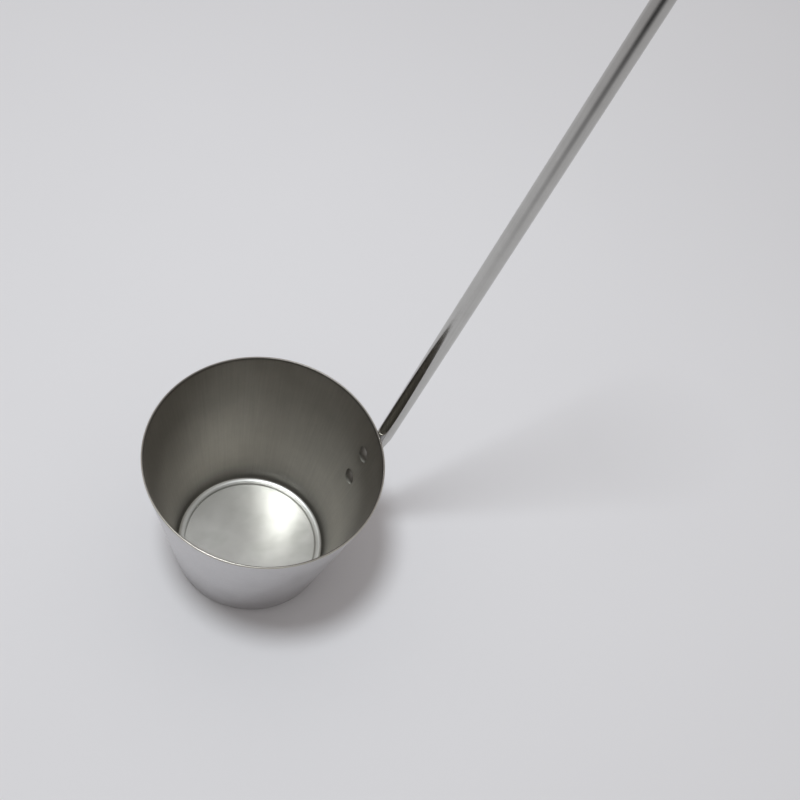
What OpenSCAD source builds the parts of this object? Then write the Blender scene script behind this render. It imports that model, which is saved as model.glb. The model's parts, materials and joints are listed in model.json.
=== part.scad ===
// Small tapered melting pot: a drawn steel cup with a long tubular handle,
// pressed flat at both ends and held to the wall by two rivets.
// Origin: middle of the foot ring, on the plane that the pot stands on.
// +Z is up and the handle leans towards +X.

/* [Cup] */
// Diameter over the rim
rim_d = 88; // [84:1:96]
// Diameter at which the line of the wall meets the standing plane
base_d = 59.5; // [56:0.5:62]
// Height of the cup from the standing plane to the rim
cup_h = 68.5; // [62:0.5:76]
// Thickness of the sheet
sheet_t = 0.8; // [0.6:0.1:1]
// Outside radius of the bends on both sides of the foot ring
heel_r = 3; // [2.6:0.1:3.4]
// Width of the flat ring that the pot stands on
foot_w = 0.5; // [0.4:0.1:1]
// Radius of the rolled edge round the raised middle of the base, on its upper side
shoulder_r = 1.2; // [1.1:0.1:1.6]

/* [Handle] */
// Outside diameter of the tube
tube_d = 6; // [5:0.5:7]
// Wall thickness of the tube
tube_t = 0.8; // [0.6:0.1:1]
// Length of the handle above the rim, along its own axis
reach = 236; // [180:1:260]
// Length of the handle below the rim, along the wall
tang_l = 37.5; // [36:0.5:42]
// Length over which the round tube turns into the flat
press_l = 9; // [7:0.5:10]
// Diameter of the hanging hole in the far end
hang_d = 5; // [3:0.5:5]

/* [Rivets] */
// Distance of the upper rivet below the rim, along the wall
rivet_drop = 14.5; // [14.5:0.5:16]
// Distance between the two rivets
rivet_pitch = 16; // [12:0.5:16]
// Diameter of the shank
shank_d = 3; // [2.5:0.5:3.5]
// Diameter of both heads
head_d = 6.1; // [5.5:0.1:6.5]
// Height of the head inside the cup
head_h = 1.1; // [0.8:0.1:1.4]
// Height of the head outside, on the flat of the handle
peen_h = 1.3; // [0.8:0.1:1.6]

/* [Hidden] */
$fn = 96;

// Steepest slope between the foot ring and the raised middle of the base
step_a = 20;
// Steps in each bend of the sheet, in a rivet's dome and in the folded edge of the flat
bend_steps = 12;
step_steps = 6;
dome_steps = 10;
fold_steps = 6;
// Points across the flat, and rings in the length that turns from round to flat
flat_steps = 16;
press_rings = 10;
// Rings in a rounded tip, and the angle at which its arc stops at a short straight end
tip_steps = 6;
tip_a = 65;
// A hair of play between the curved flat and the wall
play = 0.02;
// Clear gap between the round tube and the rim that it passes
tube_gap = 0.1;

// The wall's line starts at the heel and touches the round lip, so it leans a little more
// than the line to the lip's middle
base_r = base_d / 2;
lip_r = sheet_t / 2;
lip_x = rim_d / 2 - lip_r;
lip_z = cup_h - lip_r;
wall_a = atan((lip_x - base_r) / lip_z) + asin(lip_r / norm([lip_x - base_r, lip_z]));
heel_x = base_r - heel_r / tan((90 + wall_a) / 2);
// The foot ring's inner bend is centred over step_x and turns into the rolled edge about shoulder_x
step_x = heel_x - foot_w;
shoulder_x = step_x - (heel_r + shoulder_r - sheet_t) * sin(step_a);
shoulder_z = heel_r - (heel_r + shoulder_r - sheet_t) * cos(step_a);
panel_z = shoulder_z + shoulder_r;
// Where the wall's outer face ends at the lip: the origin of the wall's own frame
rim_x = lip_x + lip_r * cos(wall_a);
rim_z = lip_z - lip_r * sin(wall_a);

tube_r = tube_d / 2;
tube_mid = tube_gap + tube_r;
flat_t = 2 * tube_t;
// A pressed tube keeps the length of its middle line, so its width follows from its diameter
flat_w = PI * (tube_d - tube_t) / 2 + tube_t;
// Straight part of the flat's outline, and the share of the round outline that becomes a fold
side = (flat_w - flat_t) / 2;
fold_a = 360 * (PI * flat_t / 2) / (PI * flat_t + 4 * side);

upper_z = -rivet_drop;
lower_z = -rivet_drop - rivet_pitch;
hang_z = reach - flat_w / 2;
round_from = -1;
round_to = hang_z - flat_w / 2 - 1 - press_l;

function arc(x, z, r, from, to, steps) =
    [for (i = [0:steps]) let (a = from + (to - from) * i / steps) [x + r * cos(a), z + r * sin(a)]];

// Two arcs that meet at a point, as one run of points
function joined(first, second) = concat(first, [for (i = [1:len(second) - 1]) second[i]]);

// Radius of the wall's outer face across its own line, at height z in the wall's frame
function wall_r(z) = (rim_x + z * sin(wall_a)) / cos(wall_a);

// Places its children in the wall's own frame: +Z up along the wall, +X straight out of it
module on_wall(z = 0) {
    translate([rim_x, 0, rim_z])
    rotate([0, wall_a, 0])
    translate([0, 0, z])
    children();
}

// Half section of the drawn sheet, from the middle of its underside to the middle of its top
module cup_section() {
    polygon(concat(
        [[0, panel_z - sheet_t]],
        joined(
            arc(shoulder_x, shoulder_z, shoulder_r - sheet_t, 90, 90 - step_a, step_steps),
            arc(step_x, heel_r, heel_r, -90 - step_a, -90, step_steps)
        ),
        arc(heel_x, heel_r, heel_r, -90, -wall_a, bend_steps),
        arc(lip_x, lip_z, lip_r, -wall_a, 180 - wall_a, bend_steps),
        arc(heel_x, heel_r, heel_r - sheet_t, -wall_a, -90, bend_steps),
        joined(
            arc(step_x, heel_r, heel_r - sheet_t, -90, -90 - step_a, step_steps),
            arc(shoulder_x, shoulder_z, shoulder_r, 90 - step_a, 90, step_steps)
        ),
        [[0, panel_z]]
    ));
}

module rivet_hole(z) {
    on_wall(z)
    rotate([0, 90, 0])
    cylinder(d = shank_d, h = 8 * sheet_t, center = true);
}

module cup() {
    color("silver")
    difference() {
        rotate_extrude($fn = 180) cup_section();
        rivet_hole(upper_z);
        rivet_hole(lower_z);
    }
}

// Outline of the pressed flat: two folded edges joined by flats
flat_outline = concat(
    [for (i = [0:fold_steps]) let (a = 180 * i / fold_steps) flat_t / 2 * [cos(a), sin(a)] + [0, side]],
    [for (i = [1:flat_steps - 1]) [-flat_t / 2, side - 2 * side * i / flat_steps]],
    [for (i = [0:fold_steps]) let (a = 180 * i / fold_steps) -flat_t / 2 * [cos(a), sin(a)] - [0, side]],
    [for (i = [1:flat_steps - 1]) [flat_t / 2, 2 * side * i / flat_steps - side]]
);

// Outline of the round tube, point for point with the flat one
half_angles = concat(
    [for (i = [0:fold_steps]) 90 + fold_a * (i / fold_steps - 0.5)],
    [for (i = [1:flat_steps - 1]) 90 + fold_a / 2 + (180 - fold_a) * i / flat_steps]
);
round_outline = [for (turn = [0, 180]) for (a = half_angles) tube_r * [cos(a + turn), sin(a + turn)]];

// One ring of the handle at height z: k is 0 where it is pressed flat and 1 where it is round,
// mid is where its middle lies, and w is the share of its width that the cut tip leaves.
// A flat is curved across to fit the wall.
function ring(z, k, mid, w = 1) =
    [for (i = [0:len(flat_outline) - 1])
        let (
            p = flat_outline[i] * (1 - k) + round_outline[i] * k,
            y = p.y * w,
            sag = (1 - k) * y * y / (2 * wall_r(min(z, 0)))
        )
        [mid + p.x - sag, y, z]];

// Solid skin over a stack of rings, from the lowest to the highest
module skin(rings) {
    n = len(rings[0]);
    top = (len(rings) - 1) * n;
    polyhedron(
        points = [for (r = rings) each r],
        faces = concat(
            [[for (i = [0:n - 1]) i]],
            [[for (i = [n - 1:-1:0]) top + i]],
            [for (j = [0:n:top - 1]) for (i = [0:n - 1])
                let (next = (i + 1) % n)
                each [[j + i, j + n + i, j + n + next], [j + i, j + n + next, j + next]]]
        )
    );
}

// Roundness at share s of the pressed length
function roundness(s) = s * s * (3 - 2 * s);

// Rings of a rounded tip: up is 1 at the far end and -1 at the tang
function tip_rings(z, mid, up) =
    let (tip_r = flat_w / 2)
    [for (i = [1:tip_steps])
        let (a = tip_a * i / tip_steps)
        ring(z - up * tip_r * (1 - sin(a) / sin(tip_a)), 0, mid, cos(a))];

// The tube from the tang's tip to the far tip: flat on the wall, round past the rim, flat again
module pressed_tube() {
    flat_mid = play + flat_t / 2;
    tang_tip = tip_rings(-tang_l, flat_mid, -1);
    skin(concat(
        [for (i = [tip_steps - 1:-1:0]) tang_tip[i]],
        [ring(flat_w / 2 - tang_l, 0, flat_mid)],
        [for (i = [0:press_rings])
            let (
                s = i / press_rings,
                k = roundness(s)
            )
            ring(round_from - press_l * (1 - s), k, flat_mid + (tube_mid - flat_mid) * k)],
        [for (i = [0:press_rings])
            let (s = i / press_rings)
            ring(round_to + press_l * s, roundness(1 - s), tube_mid)],
        [ring(reach - flat_w / 2, 0, tube_mid)],
        tip_rings(reach, tube_mid, 1)
    ));
}

module handle() {
    color("gainsboro")
    difference() {
        on_wall()
        difference() {
            pressed_tube();
            translate([tube_mid, 0, round_from])
            cylinder(r = tube_r - tube_t, h = round_to - round_from);
            translate([tube_mid, 0, hang_z])
            rotate([0, 90, 0])
            cylinder(d = hang_d, h = 2 * flat_t, center = true);
        }
        rivet_hole(upper_z);
        rivet_hole(lower_z);
    }
}

// Dome of height h over a head, as half a section that stands on level s
function dome(s, h, steps) =
    let (
        head_r = head_d / 2,
        r = (head_r * head_r + h * h) / (2 * h),
        edge = asin(head_r / r)
    )
    [for (i = [0:steps]) let (a = edge * (1 - i / steps)) [r * sin(a), s + h - r * (1 - cos(a))]];

// Rivet at height z on the wall, drawn along its axis from the head inside the cup outwards.
// The inner head's rim meets the hollow of the wall, so its flat stands off by the sagitta.
module rivet(z) {
    inner_r = wall_r(z) - sheet_t;
    inner_seat = -sheet_t - head_d * head_d / (8 * inner_r);
    outer_seat = play + flat_t;
    inner_dome = [for (p = dome(0, head_h, dome_steps)) [p.x, inner_seat - p.y]];
    on_wall(z)
    rotate([0, 90, 0])
    rotate_extrude()
    polygon(concat(
        [for (i = [dome_steps:-1:0]) inner_dome[i]],
        [[shank_d / 2, inner_seat], [shank_d / 2, outer_seat]],
        dome(outer_seat, peen_h, dome_steps)
    ));
}

module rivet_upper() {
    color("darkgray") rivet(upper_z);
}

module rivet_lower() {
    color("darkgray") rivet(lower_z);
}

cup();
handle();
rivet_upper();
rivet_lower();
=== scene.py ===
"""Looks of the small melting pot: a drawn steel cup, a tubular handle and the two rivets between them.

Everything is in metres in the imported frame. Sizes are read from the CAD nodes and mounts, so each
piece lies where its CAD node does.
"""

import json
import math
from types import SimpleNamespace

import bpy
import numpy as np
from mathutils import Matrix, Vector


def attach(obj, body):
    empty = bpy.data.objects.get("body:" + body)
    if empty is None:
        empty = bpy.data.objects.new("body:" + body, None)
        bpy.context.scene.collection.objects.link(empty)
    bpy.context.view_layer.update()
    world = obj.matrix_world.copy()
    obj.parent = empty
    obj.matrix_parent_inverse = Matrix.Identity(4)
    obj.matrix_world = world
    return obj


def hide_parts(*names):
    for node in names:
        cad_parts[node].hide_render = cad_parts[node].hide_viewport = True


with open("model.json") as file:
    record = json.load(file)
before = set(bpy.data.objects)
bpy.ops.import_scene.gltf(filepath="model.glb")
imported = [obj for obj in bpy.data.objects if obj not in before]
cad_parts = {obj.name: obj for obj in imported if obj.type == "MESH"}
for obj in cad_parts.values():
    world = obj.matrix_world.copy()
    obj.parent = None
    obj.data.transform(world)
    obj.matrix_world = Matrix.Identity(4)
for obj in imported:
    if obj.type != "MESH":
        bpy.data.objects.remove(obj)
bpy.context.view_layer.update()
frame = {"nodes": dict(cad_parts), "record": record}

MM = 0.001
# Points that lie closer than this count as level with each other
HAIR = 0.002 * MM

# Smoothness of the shells
PANEL_RINGS = 24
CUP_SEGMENTS = 288
WALL_ROWS = 60
RIVET_SEGMENTS = 96
BEND_STEPS = 16
STEP_STEPS = 12
DOME_STEPS = 20
FOLD_STEPS = 10
FLAT_STEPS = 20
TANG_RINGS = 20
FAR_FLAT_RINGS = 8
PRESS_RINGS = 28
TUBE_RINGS = 24
TIP_STEPS = 16
BREAK_STEPS = 4
SHARP = math.radians(40)

# Radius of the innermost ring of the cup's base, inside which a fan closes it
FAN_R = 0.5 * MM

# Handle's tips: the arc of each stops at a short straight cut, whose edges are broken a little
TIP_ARC = math.radians(65)
BROKEN_EDGE = 0.15 * MM

# Share of a rivet's dome that rounds its edge over, and how square the spacing of its rings is
DOME_EDGE = 0.12
DOME_SPACING = 0.9

# How far the cutters reach to each side of where they start, in thicknesses of what they go through
RIVET_CUT = 4
HANG_CUT = 2


# ---------------------------------------------------------------- sizes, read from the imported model


def points(node):
    """A CAD node's vertices."""
    verts = frame["nodes"][node].data.vertices
    co = np.empty(len(verts) * 3, np.float32)
    verts.foreach_get("co", co)
    return co.reshape(-1, 3).astype(float)


def mount(name):
    """A mount of the part's record."""
    return next(m for m in frame["record"]["mounts"] if m["name"] == name)


def measure_cup():
    """Radii, heights and angles of the sheet's half section. The wall leans as the hanging hole does.

    The foot ring's inner bend, centred over step_x, turns at the slope step_a into the rolled edge of
    the raised panel, centred at shoulder_x and shoulder_z.
    """
    co = points("cup")
    r = np.hypot(co[:, 0], co[:, 1])
    z = co[:, 2]
    foot = r[z < HAIR]
    panel = z[r < r.min() + HAIR]
    axis = mount("hanging_hole")["axis"]
    lean = math.atan2(-axis[2], axis[0])
    sheet = np.ptp(panel)
    lip_r = sheet / 2
    lip_x = r.max() - lip_r
    lip_z = z.max() - lip_r
    rim_x = lip_x + lip_r * math.cos(lean)
    rim_z = lip_z - lip_r * math.sin(lean)
    heel_x = foot.max()
    heel_r = (rim_x - rim_z * math.tan(lean) - heel_x) * math.tan((math.pi / 2 + lean) / 2)
    across = foot.min() - r.min()
    drop = heel_r - panel.max()
    bend_r = heel_r - sheet
    shoulder_r = (across**2 + drop**2 - bend_r**2) / (2 * (bend_r - drop))
    return SimpleNamespace(
        lean=lean,
        sheet=sheet,
        panel_z=panel.max(),
        shoulder_r=shoulder_r,
        shoulder_x=r.min(),
        shoulder_z=panel.max() - shoulder_r,
        step_a=math.atan2(across, drop + shoulder_r),
        step_x=foot.min(),
        heel_x=heel_x,
        heel_r=heel_r,
        lip_x=lip_x,
        lip_z=lip_z,
        lip_r=lip_r,
        rim_x=rim_x,
        rim_z=rim_z,
        height=z.max(),
    )


def wall_frame(cup):
    """The wall's own frame, from where its face meets the lip: +Z up along it, +X straight out of it."""
    up = (math.sin(cup.lean), 0, math.cos(cup.lean))
    out = (math.cos(cup.lean), 0, -math.sin(cup.lean))
    columns = Matrix((out, (0, 1, 0), up)).transposed().to_4x4()
    return Matrix.Translation((cup.rim_x, 0, cup.rim_z)) @ columns


def in_wall(co):
    """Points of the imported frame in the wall's own frame."""
    inverse = np.array(WALL.inverted())
    return co @ inverse[:3, :3].T + inverse[:3, 3]


def measure_handle():
    """The tube's sizes and where its round and flat lengths start and end, in the wall's frame.

    Two of them come out a little large: tube_r by 0.04 mm, as it is read from the last ring below the
    round length, and flat_t by 0.03 mm, as it is read at the far tip, which is curved across.
    """
    co = in_wall(points("handle"))
    hole = in_wall(np.array([mount("hanging_hole")["pos_m"]]))[0]
    middle = (co[:, 2].min() + co[:, 2].max()) / 2
    levels = np.unique(np.round(co[:, 2], 6))
    widest = np.array([np.abs(co[np.abs(co[:, 2] - z) < HAIR, 1]).max() for z in levels])
    tube_r = widest[np.argmin(np.abs(levels - middle)) - 1]
    below = levels[levels < middle]
    above = levels[levels > middle]
    flat = levels[(widest > widest.max() - HAIR) & (levels < middle)]
    far_flat = co[np.abs(co[:, 2] - co[:, 2].max()) < HAIR]
    tang = co[np.abs(co[:, 2] - co[:, 2].min()) < HAIR]
    return SimpleNamespace(
        tube_r=tube_r,
        flat_w=2 * np.abs(co[:, 1]).max(),
        flat_t=np.ptp(far_flat[:, 0]),
        tube_mid=hole[0],
        flat_mid=(tang[:, 0].min() + tang[:, 0].max()) / 2,
        hang_z=hole[2],
        hang_r=mount("hanging_hole")["dims"]["r_mm"] * MM,
        tip_low=co[:, 2].min(),
        tip_high=co[:, 2].max(),
        round_from=below.max(),
        round_to=above.min(),
        round_press=below.max() - flat.max(),
    )


def measure_rivet(node):
    """A rivet's height on the wall, and its section out along its own axis from the wall's face."""
    co = in_wall(points(node))
    height = (co[:, 2].min() + co[:, 2].max()) / 2
    r = np.hypot(co[:, 1], co[:, 2] - height)
    head_r = r.max()
    seats = co[r > head_r - HAIR, 0]
    shank = r[np.abs(co[:, 0] - seats.max()) < HAIR]
    return SimpleNamespace(
        z=height,
        head_r=head_r,
        shank_r=shank.min(),
        inner_seat=seats.min(),
        outer_seat=seats.max(),
        inner_top=co[:, 0].min(),
        outer_top=co[:, 0].max(),
    )


CUP = measure_cup()
WALL = wall_frame(CUP)
HANDLE = measure_handle()
RIVETS = {node: measure_rivet(node) for node in ("rivet_upper", "rivet_lower")}


# ---------------------------------------------------------------- meshes


def put(name, data):
    """A new object in the scene."""
    obj = bpy.data.objects.new(name, data)
    bpy.context.scene.collection.objects.link(obj)
    return obj


def quad(name, corners, material):
    """A new object with one four-cornered face."""
    mesh = bpy.data.meshes.new(name)
    mesh.from_pydata(corners, [], [(0, 1, 2, 3)])
    mesh.materials.append(material)
    return put(name, mesh)


def skin(name, rings, bands=None):
    """A closed mesh over a stack of equal rings, with a fan to the middle of the first and the last.

    bands gives the material slot of each strip between two rings, and each fan takes its strip's.
    """
    rings = [np.asarray(r, float) for r in rings]
    n = len(rings[0])
    verts = np.vstack([*rings, rings[0].mean(0), rings[-1].mean(0)])
    bands = bands or [0] * (len(rings) - 1)
    faces, slots = [], []
    for j, band in enumerate(bands):
        for i in range(n):
            k = (i + 1) % n
            faces.append((j * n + i, j * n + k, (j + 1) * n + k, (j + 1) * n + i))
            slots.append(band)
    first, last = len(verts) - 2, len(verts) - 1
    top = (len(rings) - 1) * n
    for i in range(n):
        k = (i + 1) % n
        faces.append((first, k, i))
        slots.append(bands[0])
        faces.append((last, top + i, top + k))
        slots.append(bands[-1])
    mesh = bpy.data.meshes.new(name)
    mesh.from_pydata(verts.tolist(), [], faces)
    mesh.polygons.foreach_set("material_index", slots)
    mesh.polygons.foreach_set("use_smooth", [True] * len(faces))
    mesh.update()
    return put(name, mesh)


def turned(section, segments):
    """The rings that (radius, height) points draw as they turn about Z."""
    a = np.linspace(0, 2 * math.pi, segments, endpoint=False)
    circle = np.stack([np.cos(a), np.sin(a), np.zeros(segments)], 1)
    return [circle * r + np.array([0, 0, z]) for r, z in section]


def arc(x, z, r, start, end, steps):
    """Points from angle start to angle end, both in radians."""
    angles = np.linspace(start, end, steps + 1)
    return [(x + r * math.cos(a), z + r * math.sin(a)) for a in angles]


def line(start, end, steps):
    """Points between two ends, without the ends."""
    t = np.linspace(0, 1, steps + 1)[1:-1, None]
    return [tuple(p) for p in np.array(start) * (1 - t) + np.array(end) * t]


def drilled(obj, cutters):
    """obj with the cutters taken out of it, and the cutters gone."""
    for cutter in cutters:
        cut = obj.modifiers.new("hole", "BOOLEAN")
        cut.object = cutter
        cut.solver = "EXACT"
    graph = bpy.context.evaluated_depsgraph_get()
    mesh = bpy.data.meshes.new_from_object(obj.evaluated_get(graph))
    obj.modifiers.clear()
    obj.data = mesh
    for cutter in cutters:
        bpy.data.objects.remove(cutter)
    return obj


def drill(matrix, r, depth):
    """A round cutter along local X, through the origin of that matrix."""
    cutter = skin("cutter", turned([(r, -depth), (r, depth)], RIVET_SEGMENTS))
    cutter.data.transform(Matrix(matrix) @ Matrix.Rotation(math.pi / 2, 4, "Y"))
    return cutter


def wall_r(z):
    """Radius across the wall's outer face at height z of the wall's frame."""
    return (CUP.rim_x + z * math.sin(CUP.lean)) / math.cos(CUP.lean)


# ---------------------------------------------------------------- materials


def add(tree, kind, inputs=None, **settings):
    """A node with its settings, and inputs that are values or other nodes' sockets."""
    made = tree.nodes.new("ShaderNode" + kind)
    for name, value in settings.items():
        setattr(made, name, value)
    for name, value in (inputs or {}).items():
        if isinstance(value, bpy.types.NodeSocket):
            tree.links.new(value, made.inputs[name])
        else:
            made.inputs[name].default_value = value
    return made


def new_material(name, kind="BsdfPrincipled"):
    """A material, its tree and its one shader."""
    material = bpy.data.materials.new(name)
    material.use_nodes = True
    tree = material.node_tree
    tree.nodes.clear()
    shader = add(tree, kind)
    output = add(tree, "OutputMaterial")
    tree.links.new(shader.outputs[0], output.inputs["Surface"])
    return material, tree, shader


def place(tree):
    """Where the surface is, in metres."""
    return add(tree, "TexCoord").outputs["Object"]


def along_tube(tree, where):
    """The place turned into the wall's frame, whose Z runs along the tube."""
    inputs = {"Vector": where, "Rotation": WALL.to_3x3().inverted().to_euler()}
    return add(tree, "Mapping", inputs).outputs[0]


def stretched(tree, where, scale):
    """The place scaled unequally, so that noise over it draws streaks along the axis of the low scale."""
    return add(tree, "VectorMath", {0: where, 1: scale}, operation="MULTIPLY").outputs[0]


def round_the_axis(tree, where, around, along):
    """The place on a cup about Z, with its turn and its height scaled apart from each other."""
    parts = add(tree, "SeparateXYZ", {0: where})
    flat = add(tree, "CombineXYZ", {0: parts.outputs[0], 1: parts.outputs[1], 2: 0.0})
    unit = add(tree, "VectorMath", {0: flat.outputs[0]}, operation="NORMALIZE")
    turn = add(tree, "VectorMath", {0: unit.outputs[0], "Scale": around}, operation="SCALE")
    rise = add(tree, "Math", {0: parts.outputs[2], 1: along}, operation="MULTIPLY")
    lift = add(tree, "CombineXYZ", {0: 0.0, 1: 0.0, 2: rise.outputs[0]})
    return add(tree, "VectorMath", {0: turn.outputs[0], 1: lift.outputs[0]}, operation="ADD").outputs[0]


def noise(tree, where, scale, detail=3.0, rough=0.5):
    """Noise of about scale lumps to the metre, or to the unit of where."""
    inputs = {"Vector": where, "Scale": scale, "Detail": detail, "Roughness": rough}
    return add(tree, "TexNoise", inputs).outputs["Fac"]


def ramp(tree, value, stops):
    """A colour ramp from (position, colour) stops, each colour a grey or three numbers."""
    made = add(tree, "ValToRGB", {0: value})
    elements = made.color_ramp.elements
    while len(elements) < len(stops):
        elements.new(0.5)
    for element, (position, colour) in zip(elements, stops):
        element.position = position
        rgb = colour if hasattr(colour, "__len__") else (colour, colour, colour)
        element.color = (*rgb, 1)
    return made.outputs["Color"]


def remap(tree, value, low, high, to_low=0.0, to_high=1.0):
    """The value's range from low to high turned into to_low to to_high, and held at both ends."""
    inputs = {0: value, 1: low, 2: high, 3: to_low, 4: to_high}
    return add(tree, "MapRange", inputs).outputs[0]


def mix(tree, share, a, b):
    """Colours a and b mixed by share."""
    inputs = {0: share, 6: a, 7: b}
    return add(tree, "Mix", inputs, data_type="RGBA").outputs[2]


def times(tree, a, b):
    """Colour a multiplied by colour b."""
    inputs = {0: 1.0, 6: a, 7: b}
    return add(tree, "Mix", inputs, data_type="RGBA", blend_type="MULTIPLY").outputs[2]


def total(tree, a, b):
    """The sum of two values."""
    return add(tree, "Math", {0: a, 1: b}, operation="ADD").outputs[0]


def by_height(tree, where, stops):
    """A grey that follows the height on the cup, from (share of its whole height, grey) stops."""
    height = add(tree, "SeparateXYZ", {0: where}).outputs[2]
    return ramp(tree, remap(tree, height, 0.0, CUP.height), stops)


def bumped(tree, shader, height, strength, distance):
    """Gives the shader a relief of that height in metres."""
    inputs = {"Height": height, "Strength": strength, "Distance": distance}
    bump = add(tree, "Bump", inputs)
    tree.links.new(bump.outputs[0], shader.inputs["Normal"])


# All that steel() makes has the same clouds and grain, in lumps to the metre, and strength of relief
CLOUDS = 90.0
GRAIN = 900.0
RELIEF_STRENGTH = 0.6


def steel(name, dark, light, rough, streaks, relief, dulled=None):
    """Stainless steel: two tones in soft clouds, uneven gloss, brushed streaks and fine grain.

    rough is (smoothest, roughest), streaks gives the streaks' coordinates from the place, relief is
    the height of the brushing in metres, and dulled lists by_height stops of painted shade that darken
    both tones.
    """
    material, tree, shader = new_material(name)
    where = place(tree)
    clouds = noise(tree, where, CLOUDS, 4.0, 0.6)
    brush = noise(tree, streaks(tree, where), 1.0, 3.0, 0.65)
    grain = noise(tree, where, GRAIN, 2.0)
    tone = remap(tree, total(tree, clouds, brush), 0.75, 1.25)
    colour = mix(tree, tone, (*dark, 1), (*light, 1))
    # Painted shade: both tones darkened by the height stops.
    if dulled:
        colour = times(tree, colour, by_height(tree, where, dulled))
    tree.links.new(colour, shader.inputs["Base Color"])
    uneven = total(tree, clouds, grain)
    tree.links.new(remap(tree, uneven, 0.7, 1.3, *rough), shader.inputs["Roughness"])
    bumped(tree, shader, total(tree, brush, grain), RELIEF_STRENGTH, relief)
    shader.inputs["Metallic"].default_value = 1.0
    return material


def up_streaks(tree, where):
    """Streaks that run up a cup's wall."""
    return round_the_axis(tree, where, 60.0, 40.0)


def ring_streaks(tree, where):
    """Streaks that run round a cup."""
    return round_the_axis(tree, where, 3.0, 3000.0)


def tube_streaks(tree, where):
    """Streaks that run along a tube on its local Z."""
    return stretched(tree, along_tube(tree, where), (1800.0, 1800.0, 12.0))


def even_streaks(tree, where):
    """No direction: a tumbled surface."""
    return stretched(tree, where, (1500.0, 1500.0, 1500.0))


# Painted shade on the steel from the foot to the rim, as (share of the height, share of the tone).
# Inside it is darkest in the corner round the base, a little darker below the rim, and darker again on
# top of the lip.
INSIDE_PAINTED_SHADE = [
    (0.0, 0.30),
    (0.04, 0.35),
    (0.09, 0.60),
    (0.14, 0.82),
    (0.22, 0.96),
    (0.32, 1.0),
    (0.5, 0.92),
    (0.62, 0.87),
    (0.75, 0.78),
    (0.9, 0.78),
    (0.98, 0.76),
    (0.99, 0.45),
]
# Outside, the painted shade darkens the steel towards the foot.
OUTSIDE_PAINTED_SHADE = [(0.0, 0.88), (0.15, 0.90), (0.45, 0.98), (0.8, 1.0)]


def inner_steel():
    """Inside of the wall: satin, with streaks up it and painted shade by height."""
    return steel(
        "cup_inner_steel",
        (0.52, 0.496, 0.454),
        (0.59, 0.565, 0.516),
        (0.38, 0.46),
        up_streaks,
        0.002 * MM,
        INSIDE_PAINTED_SHADE,
    )


def outer_steel():
    """Outside of the cup: a little smoother, with streaks round it and painted shade by height."""
    return steel(
        "cup_outer_steel",
        (0.55, 0.54, 0.545),
        (0.61, 0.60, 0.605),
        (0.28, 0.36),
        ring_streaks,
        0.002 * MM,
        OUTSIDE_PAINTED_SHADE,
    )


SMEARED_TONE = (0.49, 0.497, 0.463, 1)
SMEAR_STRETCH = (1.0, 1.6, 1.0)
SMEAR_ROUGHER = 0.05


def base_steel():
    """The base from halfway round the heel: brighter than the wall, with faint wax smears."""
    material, tree, shader = new_material("cup_base_steel")
    where = place(tree)
    clouds = noise(tree, where, 70.0, 3.0, 0.5)
    smears = noise(tree, stretched(tree, where, SMEAR_STRETCH), 75.0, 2.0, 0.5)
    smeared = remap(tree, smears, 0.48, 0.72)
    tone = remap(tree, clouds, 0.35, 0.65)
    clean = mix(tree, tone, (0.55, 0.557, 0.528, 1), (0.595, 0.602, 0.57, 1))
    marked = mix(tree, smeared, clean, SMEARED_TONE)
    tree.links.new(marked, shader.inputs["Base Color"])
    gloss = remap(tree, clouds, 0.3, 0.7, 0.34, 0.39)
    dulled = total(tree, gloss, remap(tree, smeared, 0.0, 1.0, 0.0, SMEAR_ROUGHER))
    tree.links.new(dulled, shader.inputs["Roughness"])
    fine = noise(tree, where, 1500.0, 2.0)
    bumped(tree, shader, fine, 0.3, 0.001 * MM)
    shader.inputs["Metallic"].default_value = 1.0
    return material


def edge_steel():
    """The lip's polished outer half."""
    return steel(
        "cup_edge_steel",
        (0.52, 0.50, 0.44),
        (0.62, 0.60, 0.53),
        (0.28, 0.38),
        ring_streaks,
        0.003 * MM,
    )


def tube_steel():
    """The handle's polished tube."""
    return steel(
        "handle_tube_steel",
        (0.49, 0.485, 0.467),
        (0.56, 0.555, 0.537),
        (0.10, 0.18),
        tube_streaks,
        0.0015 * MM,
    )


def stud_steel():
    """Dark, tumbled rivets."""
    return steel(
        "rivet_tumbled_steel",
        (0.25, 0.24, 0.22),
        (0.32, 0.31, 0.285),
        (0.42, 0.54),
        even_streaks,
        0.004 * MM,
    )


# ---------------------------------------------------------------- the cup


INNER, OUTER, BASE, EDGE = range(4)


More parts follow.
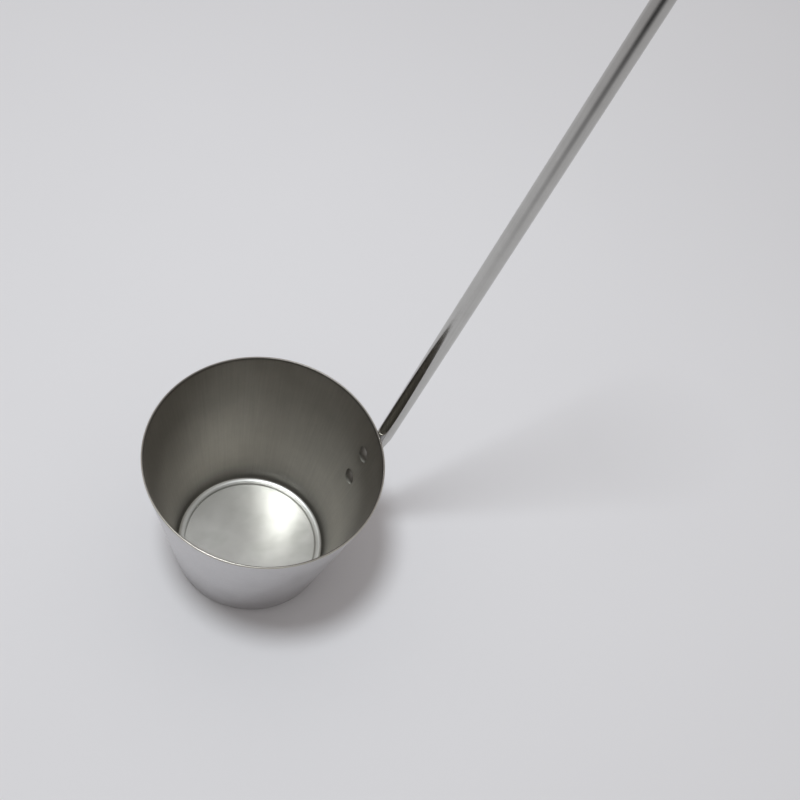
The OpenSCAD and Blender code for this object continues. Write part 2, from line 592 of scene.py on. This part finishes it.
def cup_section():
    """Half section of the sheet from the middle of its underside round to the middle of its top.

    Returns the points and the material of each stretch between two of them.
    """
    c = CUP
    down = -math.pi / 2
    up = math.pi / 2
    thin_r = c.heel_r - c.sheet
    middle = np.linspace(FAN_R, c.shoulder_x, PANEL_RINGS)[:-1]
    under = [(x, c.panel_z - c.sheet) for x in middle]
    under += arc(c.shoulder_x, c.shoulder_z, c.shoulder_r - c.sheet, up, up - c.step_a, STEP_STEPS)
    under += arc(c.step_x, c.heel_r, c.heel_r, down - c.step_a, down, STEP_STEPS)[1:]
    heel_out = arc(c.heel_x, c.heel_r, c.heel_r, down, -c.lean, BEND_STEPS)
    lip = arc(c.lip_x, c.lip_z, c.lip_r, -c.lean, math.pi - c.lean, BEND_STEPS)
    half = BEND_STEPS // 2
    heel_in = arc(c.heel_x, c.heel_r, thin_r, -c.lean, down, BEND_STEPS)
    wall_out = line(heel_out[-1], lip[0], WALL_ROWS)
    wall_in = line(lip[-1], heel_in[0], WALL_ROWS)
    groove = arc(c.step_x, c.heel_r, thin_r, down, down - c.step_a, STEP_STEPS)
    panel = arc(c.shoulder_x, c.shoulder_z, c.shoulder_r, up - c.step_a, up, STEP_STEPS)[1:]
    panel += [(x, c.panel_z) for x in middle[::-1]]
    parts = [
        (under + heel_out + wall_out, OUTER),
        (lip[:half], EDGE),
        (lip[half:] + wall_in + heel_in[:half], INNER),
        (heel_in[half:] + groove + panel, BASE),
    ]
    section, bands = [], []
    for part, band in parts:
        section += part
        bands += [band] * len(part)
    return section, bands[:-1]


def make_cup():
    """The drawn sheet, turned about Z and drilled for the rivets."""
    section, bands = cup_section()
    cup = skin("cup_shell", turned(section, CUP_SEGMENTS), bands)
    for material in (inner_steel(), outer_steel(), base_steel(), edge_steel()):
        cup.data.materials.append(material)
    depth = RIVET_CUT * CUP.sheet
    holes = [drill(WALL @ Matrix.Translation((0, 0, r.z)), r.shank_r, depth) for r in RIVETS.values()]
    drilled(cup, holes)
    cup.data.set_sharp_from_angle(angle=SHARP)
    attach(cup, "root")
    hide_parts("cup")
    return cup


# ---------------------------------------------------------------- the handle


def flat_outline():
    """Outline of the pressed flat about its middle, from one folded edge round to it again."""
    t = HANDLE.flat_t / 2
    side = HANDLE.flat_w / 2 - t
    fold = np.linspace(0, math.pi, FOLD_STEPS + 1)
    run = np.linspace(side, -side, FLAT_STEPS + 1)[1:-1]
    far = np.stack([t * np.cos(fold), t * np.sin(fold) + side], 1)
    back = np.stack([np.full(len(run), -t), run], 1)
    near = -far
    front = -back
    return np.vstack([far, back, near, front])


def round_outline():
    """Outline of the tube, point for point with the flat one."""
    t = HANDLE.flat_t / 2
    side = HANDLE.flat_w / 2 - t
    fold = math.pi * math.pi * t / (math.pi * t + 2 * side)
    a = math.pi / 2 + np.linspace(-fold / 2, fold / 2, FOLD_STEPS + 1)
    b = math.pi / 2 + np.linspace(fold / 2, math.pi - fold / 2, FLAT_STEPS + 1)[1:-1]
    half = np.concatenate([a, b])
    whole = np.concatenate([half, half + math.pi])
    return HANDLE.tube_r * np.stack([np.cos(whole), np.sin(whole)], 1)


FLAT = flat_outline()
ROUND = round_outline()


def ring(z, k, mid, wide=1.0, thick=1.0):
    """One ring of the handle at height z: k is 0 where it is pressed flat and 1 where it is round."""
    p = FLAT * (1 - k) + ROUND * k
    y = p[:, 1] * wide
    sag = (1 - k) * y * y / (2 * wall_r(min(z, 0)))
    return np.stack([mid + p[:, 0] * thick - sag, y, np.full(len(y), z)], 1)


def roundness(s):
    """Roundness at share s of the pressed length."""
    return s * s * (3 - 2 * s)


def tip(z, mid, up):
    """Rings of a rounded tip, out to its cut edge at z: up is 1 at the far end and -1 at the tang."""
    r = HANDLE.flat_w / 2
    narrow = math.cos(TIP_ARC)
    rings = []
    for a in np.linspace(0, TIP_ARC, TIP_STEPS + 1)[1:]:
        back = BROKEN_EDGE + (r - BROKEN_EDGE) * (1 - math.sin(a) / math.sin(TIP_ARC))
        rings.append(ring(z - up * back, 0, mid, math.cos(a)))
    for turn in np.linspace(0, math.pi / 2, BREAK_STEPS + 1)[1:]:
        back = BROKEN_EDGE * (1 - math.sin(turn))
        less = BROKEN_EDGE * (1 - math.cos(turn))
        rings.append(ring(z - up * back, 0, mid, narrow - less / r, 1 - 2 * less / HANDLE.flat_t))
    return rings


def handle_rings():
    """Rings of the whole handle, from the cut edge of the tang to that of the far end."""
    h = HANDLE
    r = h.flat_w / 2
    press = h.round_press
    shift = h.tube_mid - h.flat_mid
    shares = np.linspace(0, 1, PRESS_RINGS)
    rings = tip(h.tip_low, h.flat_mid, -1)[::-1]
    for z in np.linspace(h.tip_low + r, h.round_from - press, TANG_RINGS)[:-1]:
        rings.append(ring(z, 0, h.flat_mid))
    for s in shares:
        k = roundness(s)
        rings.append(ring(h.round_from - press * (1 - s), k, h.flat_mid + shift * k))
    for z in np.linspace(h.round_from, h.round_to, TUBE_RINGS)[1:-1]:
        rings.append(ring(z, 1, h.tube_mid))
    for s in shares:
        rings.append(ring(h.round_to + press * s, roundness(1 - s), h.tube_mid))
    for z in np.linspace(h.round_to + press, h.tip_high - r, FAR_FLAT_RINGS)[1:]:
        rings.append(ring(z, 0, h.tube_mid))
    return rings + tip(h.tip_high, h.tube_mid, 1)


def make_handle():
    """The pressed tube, made upright in the wall's frame, drilled and laid against the wall."""
    h = HANDLE
    handle = skin("handle_tube", handle_rings())
    handle.data.materials.append(tube_steel())
    depth = RIVET_CUT * h.flat_t
    holes = [drill(Matrix.Translation((0, 0, r.z)), r.shank_r, depth) for r in RIVETS.values()]
    hang = Matrix.Translation((h.tube_mid, 0, h.hang_z))
    holes.append(drill(hang, h.hang_r, HANG_CUT * h.flat_t))
    drilled(handle, holes)
    handle.data.set_sharp_from_angle(angle=SHARP)
    handle.data.transform(WALL)
    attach(handle, "root")
    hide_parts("handle")
    return handle


# ---------------------------------------------------------------- the rivets


def dome(rivet, seat, top):
    """(radius, height) points of a head from its edge to its middle: a cap whose edge is rounded over."""
    t = np.linspace(0, 1, DOME_STEPS)
    share = np.clip(np.cos(t * math.pi / 2) ** DOME_SPACING, 0, 1)
    cap = 1 - share**2
    lift = (1 - DOME_EDGE) * cap + DOME_EDGE * cap**0.5
    return list(zip(rivet.head_r * share, seat + (top - seat) * lift))


def make_rivet(node):
    """A set rivet, turned about its own axis from the head inside the cup outwards."""
    v = RIVETS[node]
    inner = dome(v, v.inner_seat, v.inner_top)[:-1][::-1]
    outer = dome(v, v.outer_seat, v.outer_top)[:-1]
    shank = [(v.shank_r, v.inner_seat), (v.shank_r, v.outer_seat)]
    rings = turned(inner + shank + outer, RIVET_SEGMENTS)
    rivet = skin(node + "_stud", rings)
    rivet.data.materials.append(stud_steel())
    rivet.data.set_sharp_from_angle(angle=SHARP)
    across = Matrix.Rotation(math.pi / 2, 4, "Y")
    rivet.data.transform(WALL @ Matrix.Translation((0, 0, v.z)) @ across)
    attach(rivet, "root")
    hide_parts(node)
    return rivet


# ---------------------------------------------------------------- floor, light and camera


FLOOR_REACH = 6.0


def floor_material():
    """Matt white board with a faint tooth."""
    material, tree, shader = new_material("pale_board")
    where = place(tree)
    clouds = noise(tree, where, 6.0, 3.0)
    tooth = noise(tree, where, 900.0, 3.0)
    tone = mix(tree, clouds, (0.80, 0.80, 0.805, 1), (0.83, 0.83, 0.835, 1))
    tree.links.new(tone, shader.inputs["Base Color"])
    tree.links.new(remap(tree, tooth, 0.3, 0.7, 0.75, 0.9), shader.inputs["Roughness"])
    bumped(tree, shader, tooth, 0.2, 0.05 * MM)
    shader.inputs["Specular IOR Level"].default_value = 0.2
    return material


def make_floor():
    """The table that the pot stands on."""
    signs = [(-1, -1), (1, -1), (1, 1), (-1, 1)]
    corners = [(x * FLOOR_REACH, y * FLOOR_REACH, 0) for x, y in signs]
    quad("floor", corners, floor_material())


# The lamp stands in this direction from the cup and looks at a point on the table
KEY_TOWARDS = Vector((-0.19, -0.012, 1.0)).normalized()
KEY_AWAY = 1.4
KEY_ACROSS = 0.26
KEY_POWER = 2.55
KEY_SPREAD = math.radians(100)
KEY_AIM = Vector((90 * MM, 100 * MM, 0))
KEY_COLOUR = (0.955, 1.0, 1.05)


def make_key():
    """One soft lamp, up on the side away from the handle."""
    light = bpy.data.lights.new("key", "AREA")
    light.shape = "DISK"
    light.size = KEY_ACROSS
    light.energy = KEY_POWER
    light.spread = KEY_SPREAD
    light.color = KEY_COLOUR
    key = put("key", light)
    key.location = KEY_TOWARDS * KEY_AWAY
    key.rotation_mode = "QUATERNION"
    key.rotation_quaternion = (key.location - KEY_AIM).to_track_quat("Z", "Y")


# The soft light is strongest from this side of overhead, and weakest from where the cosine of the
# angle to it is SKY_END
SKY_TOWARDS = (0.0, 0.5, 0.866)
SKY_END = -0.5
SKY_WEAK = (0.175, 0.17, 0.17)
SKY_STRONG = (0.51, 0.485, 0.485)


def make_world():
    """Soft light from all round, stronger from overhead and from behind the cup."""
    world = bpy.data.worlds.new("studio")
    bpy.context.scene.world = world
    world.use_nodes = True
    tree = world.node_tree
    tree.nodes.clear()
    toward = add(tree, "TexCoord").outputs["Generated"]
    facing = add(tree, "VectorMath", {0: toward, 1: SKY_TOWARDS}, operation="DOT_PRODUCT")
    share = remap(tree, facing.outputs["Value"], SKY_END, 1.0)
    sky = ramp(tree, share, [(0.0, SKY_WEAK), (1.0, SKY_STRONG)])
    background = add(tree, "Background", {"Color": sky, "Strength": 1.0})
    output = add(tree, "OutputWorld")
    tree.links.new(background.outputs[0], output.inputs["Surface"])


# Painted shade for the steel's reflections: on the camera's side the table grows dim with distance,
# which only the reflections see. The sheet's own X runs out along the table at this azimuth, from where
# it starts to its end, and it is dimmest from FILM_TO on.
FILM_AZIMUTH = math.radians(-125)
FILM_FROM = 0.17
FILM_TO = 0.64
FILM_FAR = 1.5
# What its darkest part lets through: the deepest painted shade
PAINTED_SHADE_LEAST = 0.08
FILM_HEIGHT = 0.5 * MM
# Slopes to each side of its axis within which it is full, and at which it ends
FILM_FULL = 0.2
FILM_SIDE = 1.0


def painted_shade_material():
    """Painted shade: a clear sheet that darkens with distance and fades out at its two long sides."""
    material, tree, shader = new_material("painted_shade_dim", "BsdfTransparent")
    parts = add(tree, "SeparateXYZ", {0: place(tree)})
    along = remap(tree, parts.outputs[0], FILM_FROM, FILM_TO)
    slope = add(tree, "Math", {0: parts.outputs[1], 1: parts.outputs[0]}, operation="DIVIDE")
    aside = add(tree, "Math", {0: slope.outputs[0]}, operation="ABSOLUTE")
    inside = remap(tree, aside.outputs[0], FILM_FULL, FILM_SIDE, 1.0, 0.0)
    depth = add(tree, "Math", {0: along, 1: inside}, operation="MULTIPLY")
    tint = ramp(tree, depth.outputs[0], [(0.0, 1.0), (1.0, PAINTED_SHADE_LEAST)])
    tree.links.new(tint, shader.inputs["Color"])
    return material


def make_painted_shade():
    """The painted shade sheet lies over the table on the camera's side and is out of the camera's own
    sight.
    """
    near = FILM_SIDE * FILM_FROM
    wide = FILM_SIDE * FILM_FAR
    corners = [
        (FILM_FROM, -near, 0),
        (FILM_FAR, -wide, 0),
        (FILM_FAR, wide, 0),
        (FILM_FROM, near, 0),
    ]
    painted_shade_sheet = quad("painted_shade_sheet", corners, painted_shade_material())
    painted_shade_sheet.location = (0, 0, FILM_HEIGHT)
    painted_shade_sheet.rotation_euler = (0, 0, FILM_AZIMUTH)
    painted_shade_sheet.visible_camera = False
    painted_shade_sheet.visible_diffuse = False
    painted_shade_sheet.visible_shadow = False


# The camera stands on a line from the middle of the rim, and looks at a point on the table
CAMERA_AZIMUTH = math.radians(-115)
CAMERA_ELEVATION = math.radians(59.7)
CAMERA_AWAY = 488.3 * MM
CAMERA_AIM = Vector((82.8 * MM, 49.9 * MM, 0))
CAMERA_ROLL = math.radians(17.7)
# Millimetres on the sensor
LENS = 60.57
SENSOR = 36
CLIP_START = 10 * MM


def make_camera():
    """The camera, rolled about the line of its sight."""
    flat = math.cos(CAMERA_ELEVATION)
    across = flat * math.cos(CAMERA_AZIMUTH)
    along = flat * math.sin(CAMERA_AZIMUTH)
    line_out = Vector((across, along, math.sin(CAMERA_ELEVATION)))
    eye = Vector((0, 0, CUP.height)) + line_out * CAMERA_AWAY
    back = (eye - CAMERA_AIM).normalized()
    level = Vector((0, 0, 1)).cross(back).normalized()
    upright = back.cross(level)
    straight = Matrix((level, upright, back)).transposed()
    turn = Matrix.Rotation(CAMERA_ROLL, 3, back)
    data = bpy.data.cameras.new("camera")
    data.lens = LENS
    data.sensor_width = SENSOR
    data.clip_start = CLIP_START
    camera = put("camera", data)
    camera.matrix_world = Matrix.Translation(eye) @ (turn @ straight).to_4x4()
    bpy.context.scene.camera = camera


make_cup()
make_handle()
for rivet_node in RIVETS:
    make_rivet(rivet_node)
make_floor()
make_key()
make_world()
make_painted_shade()
make_camera()
bpy.context.scene.view_settings.view_transform = "Standard"
